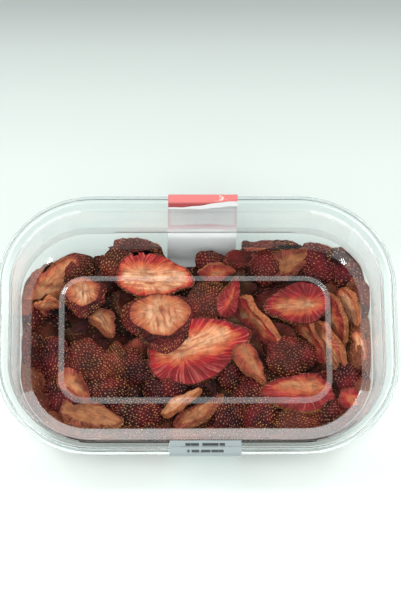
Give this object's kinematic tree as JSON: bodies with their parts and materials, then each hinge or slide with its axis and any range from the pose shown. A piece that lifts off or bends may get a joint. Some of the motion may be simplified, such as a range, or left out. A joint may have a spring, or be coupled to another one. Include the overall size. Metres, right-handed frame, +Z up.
{
  "type": "box of dried strawberry slices",
  "caption": "Clear thermoformed box with a sunken push-fit lid, filled with dried strawberry slices and closed by a paper strip from edge to edge under the base.",
  "frame": {"origin": "on the surface that the box stands on, under the middle of its outline", "axes": "+X along the box's length to the right, +Y to the back, +Z up"},
  "size_m": [0.182, 0.1252, 0.0523],
  "materials": {
    "clear_plastic": "clear glossy thermoformed sheet with a faint cool tint",
    "dried_strawberry": "dry wrinkled fruit, dark red skin with straw-coloured seeds and orange to cream cut faces",
    "label_paper": "coated paper, white with a red end"
  },
  "bodies": {
    "root": {"tray": "clear_plastic", "lid": "clear_plastic", "strawberry_slices": "dried_strawberry", "paper_strip": "label_paper"}
  },
  "joints": []
}
